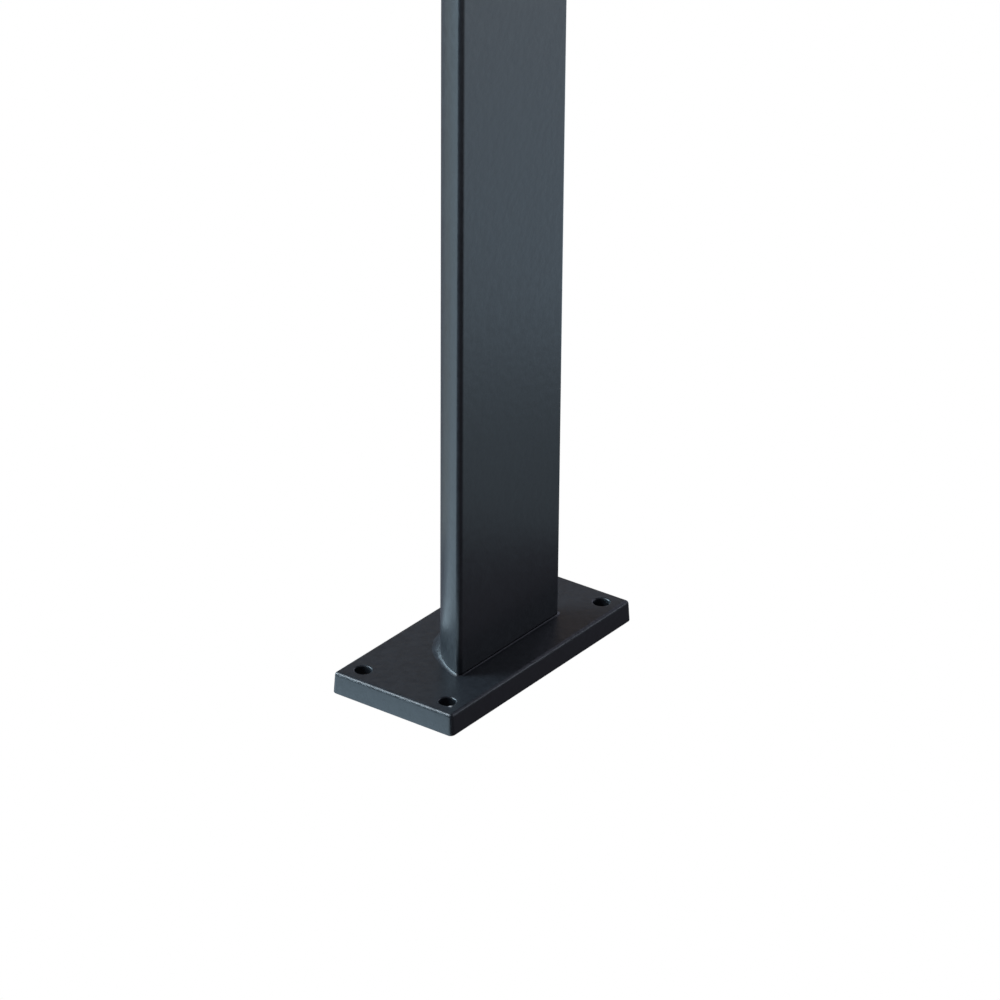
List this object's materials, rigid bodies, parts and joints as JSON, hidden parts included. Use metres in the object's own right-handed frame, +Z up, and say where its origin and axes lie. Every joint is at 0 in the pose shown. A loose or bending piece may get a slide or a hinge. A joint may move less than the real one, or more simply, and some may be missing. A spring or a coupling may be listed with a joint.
{
  "type": "stanchion base",
  "caption": "D-section upright post welded on a rectangular drafted base plate with corner anchor holes, closed at the top by a screwed cap.",
  "frame": {"origin": "centre of the base plate's underside, where it rests on the deck or ground", "axes": "+Z up along the post; X along the plate's long sides; +Y across the plate, from the post's flat face towards its rounded back"},
  "size_m": [0.204, 0.1, 0.61],
  "materials": {
    "powder_coat": "satin anthracite-grey fine-texture powder coat over aluminium",
    "coated_weld": "the same powder coat over a rippled weld bead",
    "screw_steel": "plain stainless steel"
  },
  "bodies": {
    "root": {"base_plate": "powder_coat", "post_profile": "powder_coat", "weld_back": "coated_weld", "weld_front": "coated_weld", "end_cap": "powder_coat", "cap_screws": "screw_steel"}
  },
  "joints": []
}
